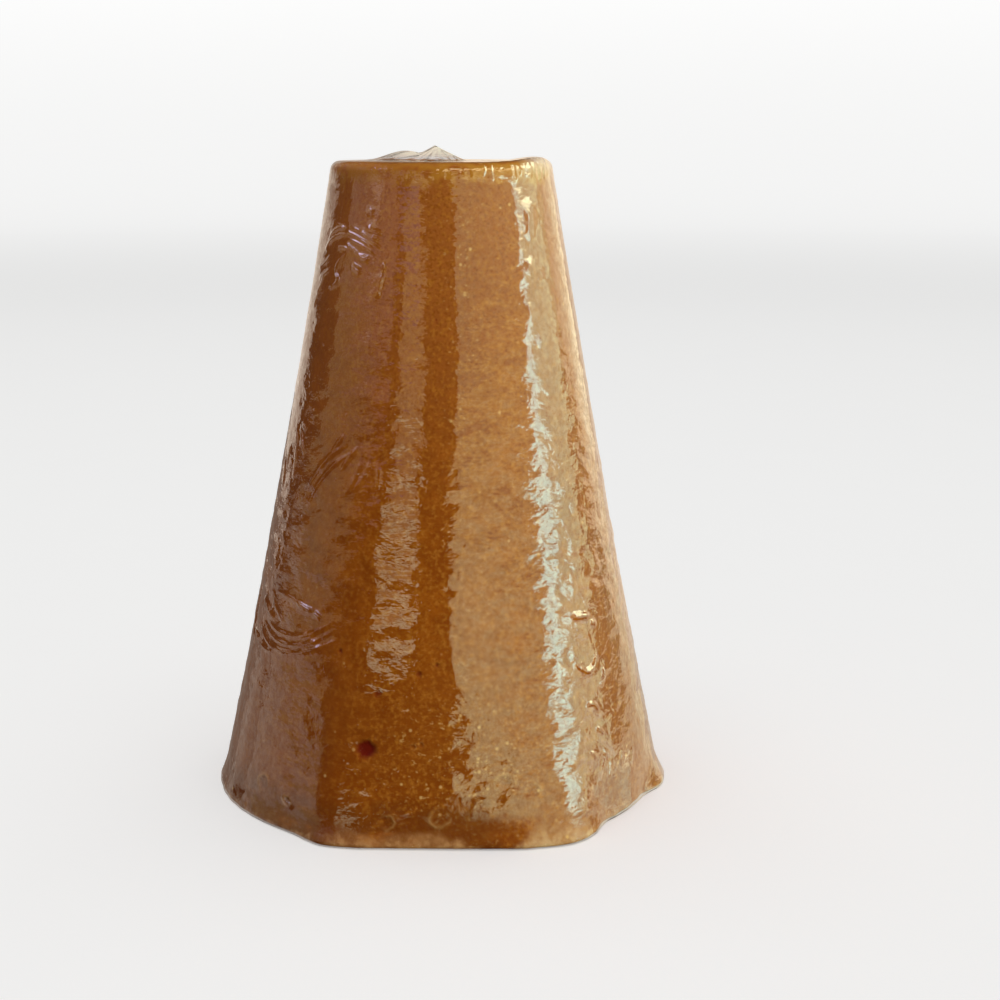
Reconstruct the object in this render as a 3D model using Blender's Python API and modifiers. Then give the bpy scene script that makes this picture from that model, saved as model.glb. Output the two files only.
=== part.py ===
"""Piloncillo: a small cone of raw cane sugar, shrunk tight into clear film.

The wrapped cone is one closed solid, its outer skin being the film's. Metres, +Z up. The origin is the
middle of the flat base, and the chipped, flattened side of the foot faces -Y.
"""

import math

import bmesh
import bpy

MM = 0.001

# The cone
HEIGHT = 90 * MM  # base to top rim
BASE_RADIUS = 32.5 * MM
TOP_RADIUS = 15.4 * MM
WALL_HOLLOW = 0.12  # sag of the wall inside a straight taper, as a share of the taper
FOOT_ROUND = 0.8 * MM
RIM_ROUND = 1.1 * MM
FOOT_FLARE = 0.5 * MM  # the foot spreads a little where the hot sugar met the mould's mouth
FLARE_HEIGHT = 4 * MM
WAVE_DEPTH = 0.12 * MM  # low unevenness of the cast wall

# The front of the foot is flattened, with a swollen corner on either side of the flat
FLAT_DISTANCE = 30.8 * MM  # from the axis to the flat
FLAT_REACH = math.radians(50)  # the flat is looked for no further round than this
FLAT_FADE = 16 * MM  # height over which the foot's outline goes back to round
CORNERS = (  # azimuth, width and height of each swell
    (math.radians(-29), math.radians(7.5), 1.4 * MM),
    (math.radians(32), math.radians(9), 1.5 * MM),
)
TIP = (math.radians(86), math.radians(10), 0.6 * MM)  # sharp corner beyond the chip
TIP_HEIGHT = 4 * MM

# A piece has broken from the foot, and the film spans the gap
CHIP_FROM, CHIP_TO = math.radians(37), math.radians(79)
CHIP_EDGE = math.radians(10)  # how quickly it deepens at each end
CHIP_DEPTH = 1.6 * MM
CHIP_HEIGHT = 8 * MM
CHIP_LIFT = 0.6 * MM  # rise of its lower edge

# The film on top: a gathered peak with a fold running off it, and a lip on the rim
PEAK = (-0.9 * MM, 2.1 * MM, 4.4 * MM)  # x, height, reach
PEAK_SWEEP = 1.2  # over 1, its sides hollow inwards
FOLD = (-5.0 * MM, 1.35 * MM, 3.4 * MM, 2.2 * MM)  # x, height, reach along x and across
LIP = (math.radians(64), math.radians(20), 0.6 * MM)

# Facets
STEPS = 72
WALL_ROWS = 16
ARC_ROWS = 4
BASE_RINGS = (10 * MM, 20 * MM, 26 * MM)
TOP_RINGS = (11.5 * MM, 9 * MM, 6.8 * MM, 4.9 * MM, 3.2 * MM, 1.6 * MM)

SUGAR_COLOUR = (0.33, 0.13, 0.03, 1)


def bump(value, centre, width):
    """A smooth rise to 1 at centre, down to about a third at width."""
    return math.exp(-(((value - centre) / width) ** 2))


def ease(value, start, end):
    """0 before start, 1 after end, and a smooth step between them."""
    share = min(max((value - start) / (end - start), 0), 1)
    return share * share * (3 - 2 * share)


def wall_radius(height):
    """The cone's radius at a height, as cast: a taper that is slightly hollow."""
    up = min(max(height / HEIGHT, 0), 1)
    return TOP_RADIUS + (BASE_RADIUS - TOP_RADIUS) * ((1 - up) - WALL_HOLLOW * up * (1 - up))


def arc(centre_radius, centre_height, round_radius, start, end):
    """Points on a quarter round, from one angle to the other, both ends included."""
    angles = [start + (end - start) * i / ARC_ROWS for i in range(ARC_ROWS + 1)]
    return [
        (centre_radius + round_radius * math.cos(a), centre_height + round_radius * math.sin(a))
        for a in angles
    ]


def profile():
    """Half of the cone's section as (radius, height), from the middle of the top to that of the base."""
    points = [(0, HEIGHT)] + [(radius, HEIGHT) for radius in reversed(TOP_RINGS)]
    rim_low = HEIGHT - RIM_ROUND
    points += arc(wall_radius(rim_low) - RIM_ROUND, rim_low, RIM_ROUND, math.pi / 2, 0)
    for row in range(1, WALL_ROWS):
        height = rim_low + (FOOT_ROUND - rim_low) * row / WALL_ROWS
        points.append((wall_radius(height), height))
    points += arc(wall_radius(FOOT_ROUND) - FOOT_ROUND, FOOT_ROUND, FOOT_ROUND, 0, -math.pi / 2)
    return points + [(radius, 0) for radius in reversed(BASE_RINGS)] + [(0, 0)]


def foot_outline(azimuth):
    """How far the foot's edge stands out from a circle: corners, and the flat that cuts between them."""
    swell = sum(height * bump(azimuth, centre, width) for centre, width, height in CORNERS)
    if abs(azimuth) > FLAT_REACH:
        return swell
    return min(swell, FLAT_DISTANCE / math.cos(azimuth) - BASE_RADIUS)


def chip_share(azimuth, height):
    """1 in the middle of the chip at the base, 0 outside it."""
    opening = ease(azimuth, CHIP_FROM, CHIP_FROM + CHIP_EDGE)
    closing = 1 - ease(azimuth, CHIP_TO - CHIP_EDGE, CHIP_TO)
    return opening * closing * (1 - min(height / CHIP_HEIGHT, 1)) ** 1.5


def wave(azimuth, height):
    """Low swells of the cast wall, none at the very top."""
    up = height / HEIGHT
    turns = math.sin(3 * azimuth + 5 * up) + math.sin(5 * azimuth - 9 * up + 1.3)
    return WAVE_DEPTH * turns * (1 - up)


def side_offset(azimuth, height):
    """How far the side stands out from the cast taper."""
    tip_azimuth, tip_width, tip_reach = TIP
    return (
        foot_outline(azimuth) * math.exp(-height / FLAT_FADE)
        + FOOT_FLARE * (1 - min(height / FLARE_HEIGHT, 1)) ** 2
        + tip_reach * bump(azimuth, tip_azimuth, tip_width) * (1 - min(height / TIP_HEIGHT, 1))
        - CHIP_DEPTH * chip_share(azimuth, height)
        + wave(azimuth, height)
    )


def top_rise(x, y, azimuth, radius):
    """Height of the film above the flat top: the peak, its fold, and the lip on the rim."""
    peak_x, peak_height, peak_reach = PEAK
    fold_x, fold_height, fold_reach, fold_width = FOLD
    lip_azimuth, lip_width, lip_height = LIP
    away = min(math.hypot(x - peak_x, y) / peak_reach, 1)
    peak = peak_height * (1 - away) ** PEAK_SWEEP
    fold = fold_height * bump(x, fold_x, fold_reach) * bump(y, 0, fold_width)
    near_rim = ease(radius, 0.6 * TOP_RADIUS, 0.9 * TOP_RADIUS)
    lip = lip_height * bump(azimuth, lip_azimuth, lip_width) * near_rim
    return max(peak, fold) + lip


def shaped(co):
    """Where a point of the plain turned cone goes on the uneven one."""
    radius = math.hypot(co.x, co.y)
    azimuth = math.atan2(co.x, -co.y)
    share = min(radius / (wall_radius(co.z) - FOOT_ROUND), 1)
    new_radius = radius + side_offset(azimuth, co.z) * share * share
    x = new_radius * math.sin(azimuth)
    y = -new_radius * math.cos(azimuth)
    near_edge = ease(radius, BASE_RINGS[-1], BASE_RADIUS - FOOT_ROUND)
    chip_lift = CHIP_LIFT * chip_share(azimuth, co.z) * near_edge
    top_share = ease(co.z, HEIGHT - 2 * RIM_ROUND, HEIGHT)
    return x, y, co.z + chip_lift + top_share * top_rise(x, y, azimuth, new_radius)


def turned(name, points, collection):
    """A closed mesh object turned about Z from a profile of (radius, height), running down the outside."""
    guide = bpy.data.meshes.new(name + "_profile")
    guide.from_pydata([(r, 0, z) for r, z in points], [(i, i + 1) for i in range(len(points) - 1)], [])
    outline = bpy.data.objects.new(name + "_profile", guide)
    collection.objects.link(outline)
    screw = outline.modifiers.new("Turn", "SCREW")
    screw.axis = "Z"
    screw.angle = 2 * math.pi
    screw.steps = STEPS
    screw.render_steps = STEPS
    screw.use_merge_vertices = True
    screw.merge_threshold = 0.01 * MM
    graph = bpy.context.evaluated_depsgraph_get()
    mesh = bpy.data.meshes.new_from_object(outline.evaluated_get(graph))
    mesh.name = name
    bpy.data.objects.remove(outline)
    obj = bpy.data.objects.new(name, mesh)
    collection.objects.link(obj)
    return obj


def make_uneven(obj):
    """Moves each point of the turned cone to its place on the real one."""
    form = bmesh.new()
    form.from_mesh(obj.data)
    for vertex in form.verts:
        vertex.co = shaped(vertex.co)
    bmesh.ops.recalc_face_normals(form, faces=form.faces)
    form.to_mesh(obj.data)
    form.free()


def sugar_material():
    material = bpy.data.materials.new("wrapped_sugar")
    material.use_nodes = True
    shader = material.node_tree.nodes["Principled BSDF"]
    shader.inputs["Base Color"].default_value = SUGAR_COLOUR
    shader.inputs["Roughness"].default_value = 0.3
    shader.inputs["Metallic"].default_value = 0
    return material


def main():
    for obj in list(bpy.data.objects):
        bpy.data.objects.remove(obj)
    collection = bpy.data.collections.new("piloncillo_cone")
    bpy.context.scene.collection.children.link(collection)
    cone = turned("wrapped_cone", profile(), collection)
    make_uneven(cone)
    cone.data.materials.append(sugar_material())
    cone.data.shade_smooth()


main()
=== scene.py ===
import math

import bmesh
import bpy
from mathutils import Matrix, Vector, noise


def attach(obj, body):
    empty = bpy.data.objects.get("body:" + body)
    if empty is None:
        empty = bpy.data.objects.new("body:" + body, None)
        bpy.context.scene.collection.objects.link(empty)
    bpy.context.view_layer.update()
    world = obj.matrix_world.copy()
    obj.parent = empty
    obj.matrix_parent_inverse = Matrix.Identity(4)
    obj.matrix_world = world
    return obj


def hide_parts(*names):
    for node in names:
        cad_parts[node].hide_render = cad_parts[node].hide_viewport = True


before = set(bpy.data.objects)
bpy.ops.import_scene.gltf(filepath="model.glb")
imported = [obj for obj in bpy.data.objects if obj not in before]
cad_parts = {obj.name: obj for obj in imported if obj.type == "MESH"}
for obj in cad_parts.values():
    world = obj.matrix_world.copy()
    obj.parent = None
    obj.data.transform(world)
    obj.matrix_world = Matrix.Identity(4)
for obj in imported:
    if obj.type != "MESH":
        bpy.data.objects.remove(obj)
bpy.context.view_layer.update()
print("frame loaded")

mm = 0.001
degree = math.pi / 180


def bump(value, centre, width):
    return math.exp(-(((value - centre) / width) ** 2))


def ease(value, start, end):  # 0 before start, 1 after end, smooth between
    share = min(max((value - start) / (end - start), 0), 1)
    return share * share * (3 - 2 * share)


def window(value, start, end, soft):  # 1 between start and end, with soft ends
    return ease(value, start - soft, start + soft) * (1 - ease(value, end - soft, end + soft))


# The cone both pieces follow. An azimuth is turned from the front towards +X.
coneForm = {
    "height": 90 * mm,
    "baseRadius": 32.5 * mm,
    "topRadius": 15.4 * mm,
    "hollow": 0.12,  # sag of the wall inside a straight taper, as a share of the taper
    "footRound": 0.8 * mm,
    "rimRound": 1.1 * mm,
    "roundSteps": 5,
    "footFlare": (0.5 * mm, 4 * mm),  # reach, height
    "waveDepth": 0.12 * mm,
    "flatDistance": 30.8 * mm,  # from the axis to the flat at the front of the foot
    "flatReach": 50 * degree,
    "flatFade": 16 * mm,
    # swollen corners on either side of the flat: azimuth, width, reach
    "corners": ((-29 * degree, 7.5 * degree, 1.4 * mm), (32 * degree, 9 * degree, 1.5 * mm)),
    "tip": (86 * degree, 10 * degree, 0.6 * mm, 4 * mm),  # azimuth, width, reach, height
    "lip": (64 * degree, 20 * degree, 0.6 * mm),  # raised part of the rim: azimuth, width, height
    "lipFrom": (0.6, 0.9),  # where it starts and is full, as shares of the top's radius
    "chip": (36 * degree, 80 * degree, 13 * degree, 11 * mm),  # from, to, soft ends, height
    "chipFade": 2.2,  # how fast it runs out upwards
}


def footOutline(azimuth):
    form = coneForm
    swell = sum(reach * bump(azimuth, centre, width) for centre, width, reach in form["corners"])
    if abs(azimuth) > form["flatReach"]:
        return swell
    return min(swell, form["flatDistance"] / math.cos(azimuth) - form["baseRadius"])


def chipShare(azimuth, height):
    start, end, soft, top = coneForm["chip"]
    across = ease(azimuth, start, start + soft) * (1 - ease(azimuth, end - soft, end))
    return across * (1 - min(height / top, 1)) ** coneForm["chipFade"]


def sideOffset(azimuth, height, chipDepth):  # how far the wall stands out from a straight taper
    form = coneForm
    up = min(max(height / form["height"], 0), 1)
    flareReach, flareTop = form["footFlare"]
    tipAzimuth, tipWidth, tipReach, tipTop = form["tip"]
    turns = math.sin(3 * azimuth + 5 * up) + math.sin(5 * azimuth - 9 * up + 1.3)
    return (
        footOutline(azimuth) * math.exp(-height / form["flatFade"])
        + flareReach * (1 - min(height / flareTop, 1)) ** 2
        + tipReach * bump(azimuth, tipAzimuth, tipWidth) * (1 - min(height / tipTop, 1))
        - chipDepth * chipShare(azimuth, height)
        + form["waveDepth"] * turns * (1 - up)
        - (form["baseRadius"] - form["topRadius"]) * form["hollow"] * up * (1 - up)
    )


castForm = {  # the surface that came out of the mould, which the film clings to
    "lumps": ((0.08 * mm, 6 * mm), (0.12 * mm, 2.2 * mm), (0.05 * mm, 1.2 * mm)),  # depth, width
    "squeeze": 1.35,  # how much wider than high they are
    "calm": (32 * mm, 72 * mm, 0.25),  # smoother from one height to the other, down to this share
    "mostCrumpled": 1.5,
}

# Places painted on the wall: azimuth, height, reach round the wall, reach up it, and how much.
# Degrees and millimetres.
swells = (
    (-14, 22, 17, 7, 0.24),
    (-14, 29.2, 10, 1.0, 0.09),
    (-18, 11, 14, 7, 0.08),
    (20, 12, 5, 4, 0.08),
    # small blisters down the other side
    (45.9, 82.9, 3.8, 1.6, 0.27),
    (44.6, 80.6, 3, 1.2, 0.19),
    (42.5, 76.2, 3, 1.4, 0.23),
    (48.2, 75.2, 2.4, 1.0, 0.17),
    (39.4, 69.9, 2.4, 1.0, 0.17),
    (44, 66.4, 2, 0.9, 0.15),
)
crumpled = (  # more crumpled or smoother than elsewhere
    (-22, 20, 22, 32, -0.6),
    (4, 29, 8, 9, -0.15),
    (-16.5, 13.5, 5, 3, -0.35),
    (12, 25, 16, 42, -0.45),
    (5, 24, 10, 30, -0.3),
    (12, 2, 14, 3, -0.3),
    (18, 9.5, 10, 4, 0.6),
    (60, 3, 14, 8, -0.8),
    (66, 18, 14, 12, -0.5),
    (-58, 12, 20, 14, -0.5),
    (-62, 7, 10, 5, -0.4),
    (-42, 18, 6, 16, 0.5),
    (-42, 80, 12, 10, -0.5),
    (36, 4, 8, 3, 0.8),
    (-60, 82, 6, 6, 3),
    (-62, 66, 7, 22, 1.3),
    (38, 78, 4, 9, 2),
    (52, 58, 7, 30, 0.7),
    (38, 88.8, 30, 1.3, 1.0),
)
dulled = (  # fine wrinkles. Over 1, it loses its shine as well
    (36, 16, 9, 16, 0.5),
    (37, 44, 8, 18, 0.6),
    (37, 80, 4, 12, 0.5),
    (55, 30, 8, 22, 0.2),
    (-30, 38, 8, 34, 0.3),
    (-50, 89, 38, 1.5, 2.2),
    (60, 89.4, 17, 1.2, 1.6),
    (4, 1, 42, 4.5, 2.6),
)


def painted(places, azimuth, height):
    return sum(
        share * bump(azimuth / degree, middle, reach) * bump(height / mm, level, rise)
        for middle, level, reach, rise, share in places
    )


def castRelief(x, y, height):
    calmFrom, calmTo, calmest = castForm["calm"]
    calm = calmest + (1 - calmest) * (1 - ease(height, calmFrom, calmTo))
    azimuth = math.atan2(x, -y)
    calm *= min(1 + painted(crumpled, azimuth, height), castForm["mostCrumpled"])
    place = Vector((x, y, castForm["squeeze"] * height))
    lumps = sum(depth * noise.noise(place / width) for depth, width in castForm["lumps"])
    return calm * lumps + painted(swells, azimuth, height) * mm


def lipRise(azimuth, radius):
    middle, width, rise = coneForm["lip"]
    share = radius / coneForm["topRadius"]
    return rise * bump(azimuth, middle, width) * ease(share, *coneForm["lipFrom"])


def outline(places):  # an open line through places, each a distance from the axis and a height
    shape = bmesh.new()
    corners = [shape.verts.new((radius, 0, height)) for radius, height in places]
    for pair in zip(corners, corners[1:]):
        shape.edges.new(pair)
    return shape, corners


def roundCorner(shape, corner, size, segments):
    bmesh.ops.bevel(
        shape,
        geom=[corner],
        offset=size,
        offset_type="OFFSET",
        affect="VERTICES",
        segments=segments,
        profile=0.5,
        material=-1,
    )


def spinOutline(shape, steps, mergeDistance):  # turns it about the upright axis and welds the seam
    bmesh.ops.spin(
        shape,
        geom=shape.verts[:] + shape.edges[:],
        cent=(0, 0, 0),
        axis=(0, 0, 1),
        angle=2 * math.pi,
        steps=steps,
        use_merge=True,
    )
    bmesh.ops.remove_doubles(shape, verts=shape.verts[:], dist=mergeDistance)


def turnedCone(size):  # the outline is four corners, two of them rounded, cut into rows and then spun
    form, inset = coneForm, size["inset"]
    top = form["height"] - inset
    foot, rim = (form["baseRadius"] - inset, inset), (form["topRadius"] - inset, top)
    shape, corners = outline(((0, inset), foot, rim, (0, top)))
    roundCorner(shape, corners[1], form["footRound"], form["roundSteps"])
    roundCorner(shape, corners[2], form["rimRound"], form["roundSteps"])
    straight = [edge for edge in shape.edges if edge.calc_length() > 5 * mm]  # not those of the rounds
    straight.sort(key=lambda edge: edge.verts[0].co.z + edge.verts[1].co.z)
    for edge, cuts in zip(straight, (size["baseRings"], size["rows"], size["topRings"])):
        bmesh.ops.subdivide_edges(shape, edges=[edge], cuts=cuts)
    spinOutline(shape, size["columns"], 0.001 * mm)
    return shape


def coneShare(x, y, height, inset):
    # azimuth, radius, and 1 on the wall but less over the base and the top
    form = coneForm
    radius, azimuth = math.hypot(x, y), math.atan2(x, -y)
    up = min(max(height / form["height"], 0), 1)
    taper = form["baseRadius"] + (form["topRadius"] - form["baseRadius"]) * up - inset
    return azimuth, radius, min(radius / (taper - form["footRound"]), 1)


def cutFiner(shape, isInside, cuts):  # splits the faces where isInside(azimuth, height, radius) holds
    inside = set()
    for vertex in shape.verts:
        x, y, height = vertex.co
        if isInside(math.atan2(x, -y), height, math.hypot(x, y)):
            inside.add(vertex)
    edges = [edge for edge in shape.edges if edge.verts[0] in inside and edge.verts[1] in inside]
    bmesh.ops.subdivide_edges(shape, edges=edges, cuts=cuts, use_grid_fill=True)


def finishMesh(shape, name, material):
    bmesh.ops.recalc_face_normals(shape, faces=shape.faces[:])
    mesh = bpy.data.meshes.new(name)
    shape.to_mesh(mesh)
    shape.free()
    mesh.shade_smooth()
    mesh.materials.append(material)
    piece = bpy.data.objects.new(name, mesh)
    bpy.context.scene.collection.objects.link(piece)
    return piece


def finishPiece(shape, name, material):
    piece = finishMesh(shape, name, material)
    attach(piece, "root")
    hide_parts("wrapped_cone")
    print(name, "has", len(piece.data.vertices), "points")
    return piece


class Wire:  # a socket of a material, which can be used in sums
    def __init__(self, tree, socket=None):
        self.tree = tree
        self.socket = socket

    def node(self, kind, settings=None, inputs=None, output=0):
        made = self.tree.nodes.new(kind)
        for name, value in (settings or {}).items():
            setattr(made, name, value)
        for name, value in (inputs or {}).items():
            if isinstance(value, Wire):
                self.tree.links.new(value.socket, made.inputs[name])
            else:
                made.inputs[name].default_value = value
        return Wire(self.tree, made.outputs[output]) if made.outputs else None

    def sum(self, operation, *values):
        return self.node("ShaderNodeMath", {"operation": operation}, dict(enumerate(values)))

    def __add__(self, other):
        return self.sum("ADD", self, other)

    def __radd__(self, other):
        return self.sum("ADD", other, self)

    def __sub__(self, other):
        return self.sum("SUBTRACT", self, other)

    def __rsub__(self, other):
        return self.sum("SUBTRACT", other, self)

    def __mul__(self, other):
        return self.sum("MULTIPLY", self, other)

    def __rmul__(self, other):
        return self.sum("MULTIPLY", other, self)

    def __truediv__(self, other):
        return self.sum("DIVIDE", self, other)

    def __pow__(self, other):
        return self.sum("POWER", self, other)

    def above(self, start, end):  # 0 below start, 1 above end, smooth between
        settings = {"interpolation_type": "SMOOTHSTEP"}
        inputs = {"Value": self, "From Min": start, "From Max": end}
        return self.node("ShaderNodeMapRange", settings, inputs)

    def attribute(self, name):
        return self.node("ShaderNodeAttribute", {"attribute_name": name}, None, 2)

    def mix(self, first, second):  # colours: first where this is 0, second where it is 1
        settings = {"data_type": "RGBA"}
        values = [colour if isinstance(colour, Wire) else (*colour, 1) for colour in (first, second)]
        return self.node("ShaderNodeMix", settings, {0: self, 6: values[0], 7: values[1]}, 2)


def newMaterial(name):
    material = bpy.data.materials.new(name)
    material.use_nodes = True
    material.node_tree.nodes.clear()
    return material, Wire(material.node_tree)


def noiseAt(place, size, detail=2, rough=0.5, stretch=(1, 1, 1)):  # size is the width of its lumps
    if stretch != (1, 1, 1):
        place = place.node("ShaderNodeMapping", None, {"Vector": place, "Scale": stretch})
    inputs = {"Vector": place, "Scale": 1 / size, "Detail": detail, "Roughness": rough}
    return place.node("ShaderNodeTexNoise", None, inputs)


def cellsAt(place, spacing):  # how far the nearest of many points is, and that point's own number
    away = place.node("ShaderNodeTexVoronoi", None, {"Vector": place, "Scale": 1 / spacing})
    colour = Wire(place.tree, away.socket.node.outputs[1])
    return away, place.node("ShaderNodeSeparateColor", None, {0: colour})


def placeParts(place):  # its x, y and z
    parts = place.node("ShaderNodeSeparateXYZ", None, {0: place}).socket.node.outputs
    return [Wire(place.tree, part) for part in parts]


sugarForm = {
    "inset": 0.13 * mm,  # room for the film
    "columns": 340,
    "rows": 180,
    "baseRings": 12,
    "topRings": 14,
    "chipDepth": 1.65 * mm,
    "chipRough": (0.35 * mm, 2.2 * mm),  # depth and width of the lumps where it broke
    "topRough": (0.10 * mm, 2 * mm),  # and of those on the top
    # level ripples near the foot: depth, length, spacing, and how high they go
    "ripples": (0.05 * mm, 5 * mm, 0.9 * mm, 26 * mm),
    # azimuth in degrees, height, radius and depth in millimetres
    "pits": (
        (-19.9, 13.1, 1.75, 0.5),
        (-29.8, 25.6, 0.42, 0.22),
        (-6.3, 23.3, 0.55, 0.22),
        (-1.3, 24.5, 0.42, 0.22),
        (-17.6, 20.6, 0.75, 0.2),
        (-2.2, 69.5, 0.22, 0.15),
    ),
    "bubbles": (
        (-7.5, 13.7, 0.45, 0.15),
        (-5.4, 14.0, 0.4, 0.15),
        (-0.5, 4.4, 1.4, 0.15),
        (15.8, 8.9, 1.2, 0.2),
        (23.5, 7.6, 0.9, 0.2),
        (-13.6, 3.6, 1.0, 0.15),
        (-52.6, 5.1, 1.3, 0.3),
        (-42.5, 3.9, 0.8, 0.25),
    ),
}


def sugarWall(x, y, azimuth, height):
    depth, length, spacing, top = sugarForm["ripples"]
    low = 1 - ease(height, 0.3 * top, top)
    ripple = noise.noise(Vector((x / length, y / length, height / spacing)))
    chipDepth, chipWidth = sugarForm["chipRough"]
    broken = noise.noise(Vector((x, y, height)) / chipWidth)
    worn = depth * low * (ripple - 0.5) + chipDepth * chipShare(azimuth, height) * (broken - 0.6)
    return castRelief(x, y, height) + min(worn, 0)


def isNear(mark, azimuth, height, radius, reach):  # reach is in the mark's own radii
    middle, level, size = mark[:3]
    return abs(height - level) < reach * size and abs(azimuth - middle) * radius < reach * size


def lopsided(mark, azimuth, height):  # how far from a mark, in its own radii, with a wobbly outline
    middle, level, size = mark[:3]
    across = (azimuth - middle) * coneForm["baseRadius"]
    rise = height - level
    turn = math.atan2(rise, across)
    wobble = noise.noise(Vector((2 * math.cos(turn), 2 * math.sin(turn), 1000 * level)))
    return math.hypot(across, 1.1 * rise) / size * (1 + 0.25 * wobble), turn


def pressMark(vertex, mark, azimuth, height, offset, layers):
    # sinks a pit, darkened inside with painted shade, or a bubble with a pale raised rim, and gives the
    # new offset
    pitShade, pale = layers
    middle, _, size, depth, kind = mark
    away, turn = lopsided(mark, azimuth, height)
    if kind == "pits":
        shade = 1 - ease(away, 0.5, 1) if size > mm else 0.65 * (1 - ease(away, 0.3, 1.1))
        vertex[pitShade] = max(vertex[pitShade], shade)
        return offset - depth * (1 - ease(away, 0.3, 1.1))
    ring = bump(away, 1, 0.2) * (0.55 + 0.45 * math.sin(turn + 1000 * middle))
    vertex[pale] = max(vertex[pale], ring)
    return offset + depth * (0.3 * ring - 0.8 * (1 - ease(away, 0.4, 1)))


def makeSugar(material):
    form, cone = sugarForm, coneForm
    marks = [
        (azimuth * degree, height * mm, radius * mm, depth * mm, kind)
        for kind in ("pits", "bubbles")
        for azimuth, height, radius, depth in form[kind]
    ]

    def nearMark(azimuth, height, radius):
        onWall = radius >= 1.2 * cone["topRadius"]
        return onWall and any(isNear(mark, azimuth, height, radius, 1.7) for mark in marks)

    shape = turnedCone(form)
    cutFiner(shape, nearMark, 3)
    layers = [shape.verts.layers.float.new(name) for name in ("pitShade", "pale")]
    roughDepth, roughWidth = form["topRough"]
    top = cone["height"]
    for vertex in shape.verts:
        x, y, height = vertex.co
        azimuth, radius, share = coneShare(x, y, height, form["inset"])
        offset = sideOffset(azimuth, height, form["chipDepth"]) + sugarWall(x, y, azimuth, height)
        if share > 0.9:
            for mark in marks:
                if isNear(mark, azimuth, height, radius, 2):
                    offset = pressMark(vertex, mark, azimuth, height, offset, layers)
        radius += offset * share * share
        vertex.co.x, vertex.co.y = radius * math.sin(azimuth), -radius * math.cos(azimuth)
        if height > 0.5 * top:
            topShare = ease(height, top - 2 * cone["rimRound"], top - form["inset"])
            rough = roughDepth * (noise.noise(vertex.co / roughWidth) - 0.6) if share < 1 else 0
            vertex.co.z += rough + topShare * lipRise(azimuth, radius)
    return finishPiece(shape, "sugarCone", material)


sugarLook = {
    "deep": (0.20, 0.043, 0.0012),
    "body": (0.28, 0.070, 0.003),
    "high": (0.315, 0.094, 0.016),  # paler towards the narrow end
    "grains": (0.38, 0.135, 0.014),
    # the rim's golden crust, with a painted highlight of the rounded rim in it
    "rimGoldAndSheen": (0.40, 0.165, 0.018),
    # painted shade along the foot, and painted shadow under it
    "foot": (0.12, 0.026, 0.001),
    "crust": (0.44, 0.215, 0.085),
    "corner": (0.50, 0.305, 0.15),
    "speck": (0.60, 0.36, 0.12),
    # painted shade inside the pits
    "pitShadeColour": (0.12, 0.006, 0.001),
    "roughness": 0.55,
    # widths of the broad and the small patches, of the grains and of the dark grains between them
    "patches": (4.5 * mm, 1.7 * mm),
    "grain": 0.65 * mm,
    "darkGrain": 0.4 * mm,
    "lowEnds": (10 * mm, 32 * mm),  # heights between which the darker low part fades out
    "highStarts": (35 * mm, 88 * mm),  # and the paler high part fades in
    "crustEdge": (2.6 * mm, 6 * mm),  # width and reach of the tongues along its ragged edge
    "crystals": 1.3 * mm,  # how far apart
    "relief": (0.06 * mm, 0.02 * mm),  # depth of the grains and of the finer ones on them
}


def addCrust(colour, place, side, height):
    # golden crust along the foot and under the rim, with a ragged edge, over a painted shade along the
    # foot and a painted shadow line under it. The gold under the rim is partly a painted highlight
    look = sugarLook
    width, reach = look["crustEdge"]
    ragged = (noiseAt(place, width, 4, 0.65) - 0.5) * reach
    # painted shade darkening the foot at the front and on the left
    shade = (1 - (height + ragged).above(3 * mm, 8 * mm)) * (1 - side.above(4 * mm, 12 * mm))
    shade = shade * noiseAt(place, 4 * mm, 3, 0.6, (1, 1, 2.5)).above(0.25, 0.5)
    colour = (shade * 0.75).mix(colour, look["foot"])
    wandering = side + ragged
    corner = wandering.above(9 * mm, 13 * mm) * (1 - wandering.above(18 * mm, 22 * mm))
    # a painted shadow line under the foot
    shadowUnderFoot = side.above(4 * mm, 6 * mm) * (1 - wandering.above(10 * mm, 12 * mm))
    front = side.above(-18 * mm, -13 * mm) * (1 - side.above(0, 5 * mm))
    foot = 1 - (height + ragged * 0.7).above(0, 0.8 * mm + front * (2 * mm) + corner * (4 * mm))
    # gold under the rim: partly the sugar's own crust, partly a painted highlight of the rounded rim,
    # stronger on the lit right side
    rim = (height + ragged * 1.1).above(86.6 * mm, 88.2 * mm)
    rim = rim * (0.5 + side.above(-8 * mm, 8 * mm) * 0.4)
    crust = corner.mix(shadowUnderFoot.mix(look["crust"], look["foot"]), look["corner"])
    blotches = noiseAt(place, 1.2 * mm, 3, 0.6).above(0.35, 0.62) * 0.5 + 0.4
    colour = (foot * blotches).mix(colour, crust)
    return (rim * noiseAt(place, 1.6 * mm, 3).above(0.32, 0.56)).mix(colour, look["rimGoldAndSheen"])


def addCrystals(colour, place, side, height, low):
    # pale crystals, thickest low on the front, and flecks among them
    look = sugarLook
    cells, pick = cellsAt(place, look["crystals"])
    across = side - 3 * mm
    apart = (across * across * 0.5 + (height - 12 * mm) ** 2) ** 0.5
    crowd = 1 - apart.above(4 * mm, 11 * mm)
    seam = side.above(-2 * mm, 2 * mm) * (1 - side.above(3 * mm, 6 * mm))
    seam = seam * height.above(45 * mm, 60 * mm)
    crowd = crowd + seam * 0.7 + side.above(0, 5 * mm) * 0.35
    crystals = (1 - cells.above(0.1, 0.24)) * (pick + crowd * 0.22 + low * 0.06).above(0.96, 1.05)
    colour = (crystals * 0.7).mix(colour, look["speck"])
    flecks = noiseAt(place, 0.7 * mm, 3, 0.6, (1, 1, 1.4)).above(0.6, 0.7) * crowd
    return (flecks * 0.6).mix(colour, look["speck"])


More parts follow.
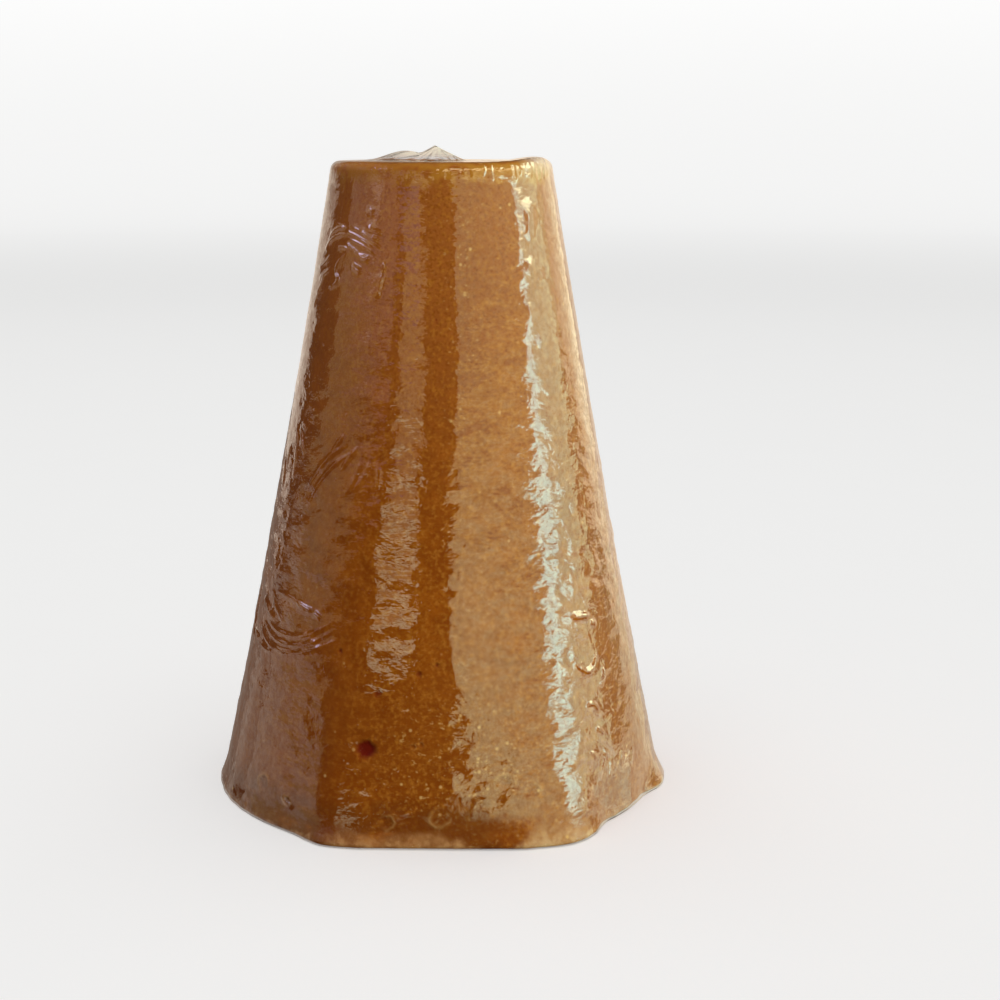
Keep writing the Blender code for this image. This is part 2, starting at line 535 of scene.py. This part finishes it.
def makeSugarMaterial():
    look = sugarLook
    material, start = newMaterial("rawCaneSugar")
    place = start.node("ShaderNodeTexCoord", output=3)
    side, _, height = placeParts(place)
    broad, small = look["patches"]
    patches = noiseAt(place, broad, 4, 0.6, (1, 1, 1.3)).above(0.36, 0.64)
    patches = patches * 0.75 + noiseAt(place, small, 3, 0.6).above(0.4, 0.62) * 0.25
    grain = noiseAt(place, look["grain"], 3, 0.6)
    low = 1 - height.above(*look["lowEnds"])
    colour = patches.mix(look["deep"], look["body"])
    colour = (low * 0.6).mix(colour, look["deep"])
    colour = (height.above(*look["highStarts"]) * 0.75).mix(colour, look["high"])
    mottled = 0.4 + side.above(-16 * mm, -7 * mm) * 0.6  # the left side is the most even
    colour = (grain.above(0.45, 0.7) * 0.7 * mottled).mix(colour, look["grains"])
    darkGrain = noiseAt(place, look["darkGrain"], 2).above(0.5, 0.68)
    colour = (darkGrain * 0.6 * mottled).mix(colour, look["deep"])
    ripples = noiseAt(place, 4 * mm, 3, 0.6, (1, 1, 5)).above(0.5, 0.72)
    colour = (ripples * low * 0.3).mix(colour, look["grains"])
    colour = addCrust(colour, place, side, height)
    colour = addCrystals(colour, place, side, height, low)
    colour = (start.attribute("pale") * 0.22).mix(colour, look["speck"])
    # painted shade in the hollows of the pits
    colour = start.attribute("pitShade").mix(colour, look["pitShadeColour"])
    coarse, fine = look["relief"]
    relief = grain * coarse + noiseAt(place, 0.35 * mm, 2) * fine
    normal = start.node("ShaderNodeBump", None, {"Height": relief, "Distance": 1})
    rough = look["roughness"] + (grain - 0.5) * 0.25
    shader = start.node(
        "ShaderNodeBsdfPrincipled",
        None,
        {"Base Color": colour, "Roughness": rough, "Normal": normal, "Specular IOR Level": 0.05},
    )
    start.node("ShaderNodeOutputMaterial", None, {"Surface": shader})
    return material


filmForm = {
    "inset": 0,
    "columns": 300,
    "rows": 140,
    "baseRings": 10,
    "topRings": 30,
    "chipDepth": 1.6 * mm,
    "peak": (-0.9 * mm, 2.1 * mm, 4.4 * mm, 1.2),  # x, height, reach, how hollow its sides are
    "fold": (-5.0 * mm, 1.35 * mm, 3.4 * mm, 2.2 * mm),  # x, height, reach along x and y
    "gathers": (17, 0.06 * mm),  # how many run up to the peak, and how deep
    "creaseLift": 2.4,  # each crease stands out by this many times its own depth
    "creaseEnds": (0.06, 0.94, 0.16),  # where they taper off along it, and how softly
    "pleats": {
        "depth": 0.11 * mm,
        "spacing": 1.3 * mm,
        "lowest": 87.1 * mm,
        "round": (8 * degree, 66 * degree, 8 * degree),  # from, to, soft ends
        "elsewhere": 0.15,
    },
    "finer": (-75 * degree, 85 * degree),  # azimuths between which the rim is cut finer
}

# Creases where the film puckered: an azimuth and height for each end, how far it bows to its left as a
# share of its length, its half width, and how far it stands out. Degrees and millimetres.
creases = (
    # a whorl near the narrow end
    (-64, 79.5, -50, 81.2, 0.12, 0.32, 0.07),
    (-66, 78.3, -49, 80.3, 0.10, 0.32, 0.07),
    (-46, 81.4, -28, 78.8, 0.05, 0.18, 0.05),
    (-50, 80.8, -31, 78.4, 0.06, 0.18, 0.05),
    (-47, 79.7, -30, 77.9, 0.05, 0.18, 0.045),
    (-55, 78.3, -45, 78.2, 0.10, 0.20, 0.05),
    (-48, 79.2, -39, 77.7, 0, 0.20, 0.06),
    (-39, 77.7, -33, 77.4, -0.10, 0.25, 0.10),
    (-43, 76.3, -37, 75.5, 0, 0.38, 0.13),
    (-50, 77.4, -49, 74.0, -0.35, 0.25, 0.07),
    (-51, 74.8, -57, 73.0, 0.20, 0.25, 0.06),
    (-66, 73.0, -70, 70.0, 0, 0.30, 0.06),
    (-63, 74.6, -67, 72.0, 0, 0.25, 0.06),
    (-59, 75.4, -68, 74.0, 0, 0.30, 0.06),
    (-60, 77.3, -72, 75.5, 0.10, 0.30, 0.06),
    (-38, 83.1, -33, 83.1, 0.10, 0.22, 0.10),
    (-36, 81.4, -28, 80.6, 0, 0.24, 0.10),
    (-33, 80.2, -29, 79.9, 0, 0.20, 0.08),
    (-25.5, 76.8, -26, 75.6, 0, 0.20, 0.08),
    (-26, 75.5, -28, 72.2, 0, 0.40, 0.06),
    # a fan half way up, and the pleats that run into it
    (-63, 54.4, -59, 53.6, 0, 0.25, 0.06),
    (-64, 53.6, -58, 50.2, 0.05, 0.28, 0.07),
    (-68, 53.7, -64, 47.2, 0.10, 0.28, 0.07),
    (-75, 48.9, -73, 44.8, 0, 0.30, 0.07),
    (-71, 50.8, -72, 48.0, 0, 0.28, 0.07),
    (-54, 44.3, -36, 52.5, 0.10, 0.34, 0.06),
    (-51, 43.6, -33, 51.6, 0.10, 0.30, 0.06),
    (-34, 46.2, -29, 51.3, -0.10, 0.34, 0.05),
    (-30, 47.0, -25, 50.8, -0.05, 0.34, 0.05),
    (-37, 49.2, -31, 52.4, 0, 0.30, 0.05),
    (-42, 51.5, -37, 54.0, 0, 0.30, 0.05),
    (-22, 49.9, -22, 47.2, 0, 0.20, 0.07),
    # an eye lower down: a lid with a bright end, and the folds under it
    (-62, 30.9, -48, 30.5, 0.03, 0.28, 0.07),
    (-49, 30.5, -42, 30.0, 0, 0.38, 0.14),
    (-41, 30.0, -38, 29.4, 0, 0.28, 0.12),
    (-73, 29.0, -62, 27.2, 0, 0.42, 0.08),
    (-64, 29.5, -55, 27.3, 0, 0.34, 0.08),
    (-70, 25.2, -48, 24.2, -0.12, 0.28, 0.09),
    (-67, 25.9, -33, 28.0, -0.14, 0.28, 0.09),
    (-65, 26.6, -34, 28.9, -0.12, 0.28, 0.08),
    (-78, 24.5, -56, 22.9, -0.08, 0.34, 0.09),
    (-60, 24.0, -37, 25.6, -0.10, 0.26, 0.08),
    (-46, 24.3, -32, 26.8, -0.05, 0.26, 0.08),
    (-80, 30.0, -76, 22.0, -0.10, 0.40, 0.07),
    # small ones down the other side
    (42, 29.2, 49.5, 28.9, 0, 0.45, 0.15),
    (50, 27.9, 53, 27.2, 0, 0.35, 0.12),
    (40.5, 23.2, 51, 23.6, -0.36, 0.40, 0.15),
    (53, 21.4, 50, 19.0, 0.20, 0.35, 0.11),
    (43, 17.0, 48, 15.6, 0.25, 0.35, 0.12),
    (46, 13.6, 49, 12.6, 0, 0.35, 0.10),
    (42, 10.9, 44, 9.4, 0.20, 0.30, 0.08),
    (48, 10.6, 46, 8.0, 0.20, 0.30, 0.08),
    (50.5, 8.6, 49, 6.2, 0, 0.30, 0.06),
    (56, 9.2, 55, 7.2, 0, 0.30, 0.06),
    (62, 8.6, 60, 6.2, 0, 0.30, 0.05),
    # ripples along the foot
    (-12, 3.4, -2, 3.2, 0.20, 0.35, 0.06),
    (-10, 2.2, -1, 2.2, 0.22, 0.30, 0.05),
    (-44, 4.4, -40, 3.4, 0, 0.35, 0.12),
)


def alongCrease(crease, azimuth, height, radius):
    # the share of the way along it, its length, and the distance to the side of it, in millimetres
    startAzimuth, startHeight, endAzimuth, endHeight, bow = crease[:5]
    across, rise = (endAzimuth - startAzimuth) * degree * radius / mm, endHeight - startHeight
    fromStart = (azimuth / degree - startAzimuth) * degree * radius / mm
    fromLow = height / mm - startHeight
    length = math.hypot(across, rise)
    along = (fromStart * across + fromLow * rise) / length**2
    off = (fromLow * across - fromStart * rise) / length - 4 * bow * length * along * (1 - along)
    return along, length, off


def creaseHeight(azimuth, height, radius):
    total = 0
    for crease in creases:
        along, _, off = alongCrease(crease, azimuth, height, radius)
        width, depth = crease[5:]
        if -0.1 < along < 1.1 and abs(off) < 3 * width:
            taper = window(along, *filmForm["creaseEnds"])
            lift = filmForm["creaseLift"] * depth * mm * taper
            total += lift * bump(off, 0, width * (0.6 + 0.4 * taper))
    return total


def nearCrease(azimuth, height, radius):
    if radius < 0.95 * coneForm["topRadius"]:
        return False
    start, end = filmForm["finer"]
    if height > filmForm["pleats"]["lowest"] and start < azimuth < end:
        return True
    for crease in creases:
        startAzimuth, startHeight, endAzimuth, endHeight, bow, width = crease[:6]
        reach = 1.0 + abs(bow) * abs(endAzimuth - startAzimuth) * degree * radius / mm
        lowest, highest = min(startHeight, endHeight) - reach, max(startHeight, endHeight) + reach
        if lowest < height / mm < highest:
            along, length, off = alongCrease(crease, azimuth, height, radius)
            if -0.5 < along * length < length + 0.5 and abs(off) < 3 * width:
                return True
    return False


def rimPleats(azimuth, height):  # short upright gathers under the rim
    form = filmForm["pleats"]
    depth, spacing = form["depth"], form["spacing"]
    side = azimuth * coneForm["topRadius"]
    shift = noise.noise(Vector((side / (2.2 * mm), 0, 3)))
    wave = math.sin(2 * math.pi * side / spacing + 5 * shift)
    patchy = 0.55 + 0.9 * noise.noise(Vector((side / (1.7 * mm), height / (3 * mm), 8)))
    where = form["elsewhere"] + (1 - form["elsewhere"]) * window(azimuth, *form["round"])
    ragged = height + 1.4 * mm * noise.noise(Vector((side / (1.1 * mm), 0, 5)))
    share = ease(ragged, form["lowest"], form["lowest"] + 1.2 * mm)
    return depth * share * where * max(patchy, 0) * wave


def filmTop(x, y, azimuth, radius):
    peakX, peakHeight, peakReach, sweep = filmForm["peak"]
    foldX, foldHeight, foldReach, foldWidth = filmForm["fold"]
    away = math.hypot(x - peakX, y) / peakReach
    peak = peakHeight * (1 - min(away, 1)) ** sweep
    fold = foldHeight * bump(x, foldX, foldReach) * bump(y, 0, foldWidth)
    turn = math.atan2(y, x - peakX)
    count, depth = filmForm["gathers"]
    gathers = math.sin(count * turn + 3 * noise.noise(Vector((x, y, 0)) / (3 * mm)))
    gathers *= depth * ease(away, 0.1, 0.5) * (1 - ease(away, 1.4, 3))
    return max(peak, fold) + lipRise(azimuth, radius) + gathers


def makeFilm(material):
    form, cone = filmForm, coneForm
    top = cone["height"]
    shape = turnedCone(form)
    cutFiner(shape, nearCrease, 3)
    haze, crumple, dull = (shape.verts.layers.float.new(name) for name in ("haze", "crumple", "dull"))
    for vertex in shape.verts:
        x, y, height = vertex.co
        azimuth, radius, share = coneShare(x, y, height, form["inset"])
        offset = castRelief(x, y, height)
        if share > 0.95:
            offset += creaseHeight(azimuth, height, radius) + rimPleats(azimuth, height)
        radius += (offset + sideOffset(azimuth, height, form["chipDepth"])) * share * share
        x, y = radius * math.sin(azimuth), -radius * math.cos(azimuth)
        topShare = ease(height, top - 2 * cone["rimRound"], top)
        rise = filmTop(x, y, azimuth, radius) if topShare else 0
        vertex[haze] = topShare * ease(rise, 0.1 * mm, 1.1 * mm)
        vertex[crumple] = 1 + painted(crumpled, azimuth, height)
        vertex[dull] = painted(dulled, azimuth, height)
        vertex.co = x, y, height + topShare * rise
    return finishPiece(shape, "wrapFilm", material)


filmLook = {
    "colour": (0.90, 0.84, 0.76),
    "hazeColour": (0.84, 0.74, 0.62),
    "roughness": 0.04,
    "feathers": (0.02 * mm, 0.6 * mm),  # depth and width of the finest wrinkles, where it is dull
    "dulling": 0.12,  # added to the roughness where it is dull
    "faceOn": 0.04,  # how much of the light one face of it throws back, looked at squarely
    "haze": 0.94,  # where it is gathered
    "lumps": (0.20 * mm, 2.4 * mm),  # depth and width
    "teeth": (0.035 * mm, 0.9 * mm),
    "dints": (0.03 * mm, 2.4 * mm),
    "pimples": (0.09 * mm, 1.6 * mm),  # height, and how far apart
}


def makeFilmMaterial():
    look = filmLook
    material, start = newMaterial("clearFilm")
    place = start.node("ShaderNodeTexCoord", output=3)
    height = placeParts(place)[2]
    ragged = 1 - height.above(30 * mm, 75 * mm) * 0.65  # the narrow end is smoother
    depth, width = look["lumps"]
    relief = noiseAt(place, width, 3, 0.42, (1, 1, 1.25)) * depth
    depth, width = look["teeth"]
    relief = relief + noiseAt(place, width, 2, 0.45, (1, 1, 2.2)) * depth
    depth, width = look["dints"]
    folded = noiseAt(place, width, 1, 0.5, (1, 1, 1.5)) - 0.5
    relief = relief - folded.sum("ABSOLUTE", folded) * (2 * depth)
    depth, spacing = look["pimples"]
    away, pick = cellsAt(place, spacing)
    pimples = (1 - away.above(0.02, 0.17)) * pick.above(0.93, 0.96) * depth
    relief = (relief + pimples) * ragged * start.attribute("crumple")
    relief = relief * (1 + height.above(86.8 * mm, 88.4 * mm) * 1.2)  # rougher over the rim
    dull = start.attribute("dull")
    depth, width = look["feathers"]
    relief = relief + noiseAt(place, width, 3, 0.6) * dull * depth
    normal = start.node("ShaderNodeBump", None, {"Height": relief, "Distance": 1})
    facing = start.node("ShaderNodeLayerWeight", None, {"Blend": 0.5, "Normal": normal}, 1)
    face = look["faceOn"] + (facing**5) * (1 - look["faceOn"])
    gloss = 2 * face * (1 - face * 0.5) * (1 - dull.above(1, 2) * 0.9)
    # it touches the sugar unevenly
    gloss = gloss * (0.8 + noiseAt(place, 0.9 * mm, 4, 0.7).above(0.36, 0.64) * 0.4)
    haze = start.attribute("haze")
    colour = haze.mix(look["colour"], look["hazeColour"])
    haze = haze * look["haze"]
    cover = gloss + haze - gloss * haze + 0.001
    dull = dull * noiseAt(place, 1.8 * mm, 3, 0.6).above(0.35, 0.62)
    shader = start.node(
        "ShaderNodeBsdfPrincipled",
        None,
        {
            "Base Color": colour,
            "Metallic": gloss / cover,
            "Roughness": look["roughness"] + dull * look["dulling"],
            "Normal": normal,
            "Specular IOR Level": 0,
        },
    )
    clear = start.node("ShaderNodeBsdfTransparent")
    both = start.node("ShaderNodeMixShader", None, {0: cover, 1: clear, 2: shader})
    start.node("ShaderNodeOutputMaterial", None, {"Surface": both})
    return material


sugar = makeSugar(makeSugarMaterial())
film = makeFilm(makeFilmMaterial())
film.visible_shadow = False  # so thin that it takes no light from the sugar
film.visible_diffuse = False
print("cone made")


studio = {
    "cardDistance": 1.0,
    # from azimuth, to azimuth, lowest, highest, red, green, blue
    "cards": (
        # the narrow streak left of the front
        (-40.5, -20, 0.36, 0.50, 0.36, 0.42, 0.64),
        (-33, -13, 0.19, 0.36, 0.97, 0.76, 0.42),
        (-37, -24, 0.125, 0.19, 1.8, 1.95, 1.35),
        (-24, -12, 0.119, 0.19, 2.0, 2.15, 1.5),
        # the broad tan band, and the white line at its far side
        (12.5, 76.5, 0.27, 0.50, 0.94, 0.96, 0.64),
        (76.5, 79.5, 0.27, 0.50, 3.6, 5.9, 5.6),
        (11.5, 73, 0.21, 0.27, 1.8, 1.5, 0.7),
        (73, 79, 0.21, 0.27, 4.2, 6.9, 6.8),
        (9, 71.5, 0.17, 0.21, 1.85, 1.75, 1.0),
        (71.5, 80, 0.17, 0.21, 4.2, 7.2, 7.2),
        (6.5, 67, 0.115, 0.17, 1.85, 1.75, 1.0),
        (67, 83, 0.115, 0.17, 4.2, 7.5, 7.3),
        (6.5, 56, 0.075, 0.115, 1.85, 2.0, 1.2),
        (7.5, 56, 0.03, 0.075, 1.85, 2.0, 1.2),
        (3.5, 56, -0.05, 0.03, 1.85, 2.0, 1.2),
        (56, 60, 0.0, 0.115, 2.9, 4.5, 4.0),
        (60, 84, 0.0, 0.115, 4.2, 7.5, 7.3),
        (84, 87, 0.0, 0.115, 3.0, 4.2, 3.6),
        (56, 87, -0.05, 0.0, 2.8, 4.2, 3.6),
        (2.5, 87, -0.25, -0.05, 1.95, 2.1, 1.3),
        # the pale side
        (80, 112, 0.17, 0.36, 2.3, 3.15, 2.3),
        (83, 112, 0.115, 0.17, 2.3, 3.15, 2.3),
        (87, 110, 0.03, 0.115, 2.2, 2.9, 1.95),
        (87, 108, -0.03, 0.03, 2.25, 2.85, 1.95),
        (87, 106, -0.12, -0.03, 2.25, 2.75, 1.9),
        (87, 104, -0.22, -0.12, 2.25, 2.9, 2.5),
        # a brown line beyond it
        (112, 117, 0.115, 0.36, 1.6, 1.8, 1.15),
        (110, 118, 0.03, 0.115, 0.5, 0.5, 0.3),
        (108, 121, -0.03, 0.03, 0.4, 0.4, 0.24),
        (106, 130, -0.12, -0.03, 0.38, 0.36, 0.2),
        (104, 113, -0.15, -0.12, 0.5, 0.48, 0.3),
        (104, 113, -0.22, -0.15, 1.7, 1.9, 1.4),
        (113, 124, -0.22, -0.12, 1.2, 1.2, 0.85),
        # the far edge
        (117, 148, 0.115, 0.50, 1.55, 1.5, 1.1),
        (118, 148, 0.03, 0.115, 1.7, 1.65, 1.2),
        (121, 148, -0.03, 0.03, 1.5, 1.42, 1.05),
        (130, 148, -0.12, -0.03, 1.2, 1.1, 0.8),
        (124, 148, -0.22, -0.12, 0.95, 0.9, 0.65),
        (148, 180, 0.08, 0.50, 1.0, 0.85, 0.68),
        (148, 180, -0.22, 0.08, 0.8, 0.66, 0.52),
        # under the foot
        (64, 120, -0.65, -0.22, 1.2, 1.5, 1.2),
        (120, 148, -0.65, -0.22, 0.95, 0.85, 0.62),
        (148, 180, -0.65, -0.22, 0.6, 0.5, 0.4),
        # the other side
        (-99, -41, 0.275, 0.50, 0.50, 0.38, 0.36),
        (-99, -50, 0.24, 0.275, 0.52, 0.43, 0.34),
        (-99, -56, 0.20, 0.24, 0.54, 0.44, 0.26),
        (-99, -63, 0.16, 0.20, 0.54, 0.44, 0.20),
        (-99, -66, 0.13, 0.16, 0.51, 0.44, 0.26),
        (-102, -72, 0.09, 0.13, 0.50, 0.45, 0.28),
        (-109, -78, -0.02, 0.09, 0.53, 0.47, 0.28),
        (-118, -80, -0.65, -0.02, 0.76, 0.68, 0.60),
        (-122, -109, -0.02, 0.04, 0.45, 0.40, 0.32),
        (-140, -118, -0.65, -0.07, 0.44, 0.37, 0.32),
        (-180, -140, -0.65, -0.07, 0.22, 0.16, 0.13),
        (-180, -133, -0.07, 0.03, 0.76, 0.65, 0.56),
        (-180, -138, 0.03, 0.14, 0.72, 0.62, 0.53),
        (-180, -129, 0.14, 0.50, 0.49, 0.41, 0.35),
    ),
    # higher up, met only by creases
    "highCards": (
        (-150, -60, 0.50, 1.4, 1.1, 1.0, 0.85),
        (-150, -64, 0.38, 0.50, 0.8, 0.65, 0.55),
        (-105, -70, 0.58, 0.75, 4.5, 4.6, 7.5),
        (80, 117, 0.36, 1.1, 8.5, 10.5, 8.0),
        (0, 78, 0.60, 0.95, 3.6, 3.2, 2.0),
    ),
    "fill": (40, 35, 1.2, 0.5, 6.5),  # azimuth, elevation, distance, side, brightness
    "overhead": (2.2, 1.9, 1.45),  # side, height, brightness
    "ambient": 0.2,
    "floor": (0.84, 0.84, 0.83),
    "glow": (0.36, 0.56, 0.80),  # of the floor near the cone, further off, and of the wall beyond it
    "sweep": (1.5, 0.7, 1.6),  # radius of the level floor and of the curve beyond it, and wall height
    "sweepSteps": (24, 96),  # up the curve, and round it
}


def addLight(name, place, turn, size, brightness):
    light = bpy.data.lights.new(name, "AREA")
    light.shape = "RECTANGLE"
    light.size, light.size_y = size
    strongest = max(brightness)
    light.color = [part / strongest for part in brightness]
    light.energy = math.pi * size[0] * size[1] * strongest
    lamp = bpy.data.objects.new(name, light)
    lamp.location = place
    lamp.rotation_euler = turn
    lamp.visible_camera = False
    bpy.context.scene.collection.objects.link(lamp)
    return lamp


def makeStudio():
    cone = bpy.data.collections.new("cone")
    for piece in (sugar, film):
        cone.objects.link(piece)
    distance = studio["cardDistance"]
    cards = [(card, True) for card in studio["cards"]] + [(card, False) for card in studio["highCards"]]
    for (start, end, low, high, *brightness), lightsSugar in cards:
        middle, half = (start + end) / 2 * degree, (end - start) / 2 * degree
        place = (distance * math.sin(middle), -distance * math.cos(middle), (low + high) / 2)
        size = (2 * distance * math.tan(half), high - low)
        lamp = addLight("card", place, (math.pi / 2, 0, middle), size, brightness)
        lamp.light_linking.receiver_collection = cone
        lamp.visible_diffuse = lightsSugar
    side, height, brightness = studio["overhead"]
    lamp = addLight("overhead", (0, 0, height), (0, 0, 0), (side, side), [brightness] * 3)
    lamp.visible_glossy = False
    azimuth, up, distance, side, brightness = studio["fill"]
    azimuth, up = azimuth * degree, up * degree
    across, height = distance * math.cos(up), distance * math.sin(up)
    place = (across * math.sin(azimuth), -across * math.cos(azimuth), height)
    lamp = addLight("fill", place, (math.pi / 2 - up, 0, azimuth), (side, side), [brightness] * 3)
    lamp.light_linking.receiver_collection = cone
    lamp.visible_glossy = False
    makeFloor()
    world = bpy.data.worlds.new("studio")
    world.use_nodes = True
    world.node_tree.nodes["Background"].inputs["Strength"].default_value = studio["ambient"]
    world.node_tree.nodes["Background"].inputs["Color"].default_value = (1, 1, 1, 1)
    world.cycles_visibility.glossy = False  # the film mirrors only the cards
    bpy.context.scene.world = world
    bpy.context.scene.view_settings.view_transform = "Standard"


def makeFloorMaterial():
    radius, curve = studio["sweep"][:2]
    material, start = newMaterial("paleFloor")
    place = start.node("ShaderNodeTexCoord", output=3)
    pale = studio["floor"]
    tone = noiseAt(place, 20 * mm, 3).mix(pale, [0.985 * part for part in pale])
    near, far, high = ([glow] * 3 for glow in studio["glow"])
    x, y, z = placeParts(place)
    glow = ((x * x + y * y) ** 0.5).above(0.5 * radius, 1.2 * radius).mix(near, far)
    glow = z.above(0, 0.9 * curve).mix(glow, high)
    shader = start.node(
        "ShaderNodeBsdfPrincipled",
        None,
        {"Base Color": tone, "Roughness": 0.8, "Emission Color": glow, "Emission Strength": 1},
    )
    start.node("ShaderNodeOutputMaterial", None, {"Surface": shader})
    material.cycles.emission_sampling = "NONE"
    return material


def makeFloor():  # a level floor that curves up into a wall all round
    radius, curve, wall = studio["sweep"]
    up, across = studio["sweepSteps"]
    shape, corners = outline(((0, 0), (radius + curve, 0), (radius + curve, wall)))
    roundCorner(shape, corners[1], curve, up)
    spinOutline(shape, across, mm)
    floor = finishMesh(shape, "floor", makeFloorMaterial())
    floor.visible_glossy = False
    floor.visible_diffuse = False
    floor.visible_shadow = False


camera = {
    "distance": 254.8 * mm,  # from the cone's axis
    "height": 93.5 * mm,
    "down": 11.556 * degree,
    "lens": 64.28,
    "shift": 0.0585,  # the cone stands left of the middle
}


def makeCamera():
    view = bpy.data.cameras.new("camera")
    view.lens = camera["lens"]
    view.shift_x = camera["shift"]
    view.clip_start = 10 * mm
    holder = bpy.data.objects.new("camera", view)
    holder.location = (0, -camera["distance"], camera["height"])
    holder.rotation_euler = (math.pi / 2 - camera["down"], 0, 0)
    bpy.context.scene.collection.objects.link(holder)
    bpy.context.scene.camera = holder


makeStudio()
makeCamera()
print("studio and camera made")
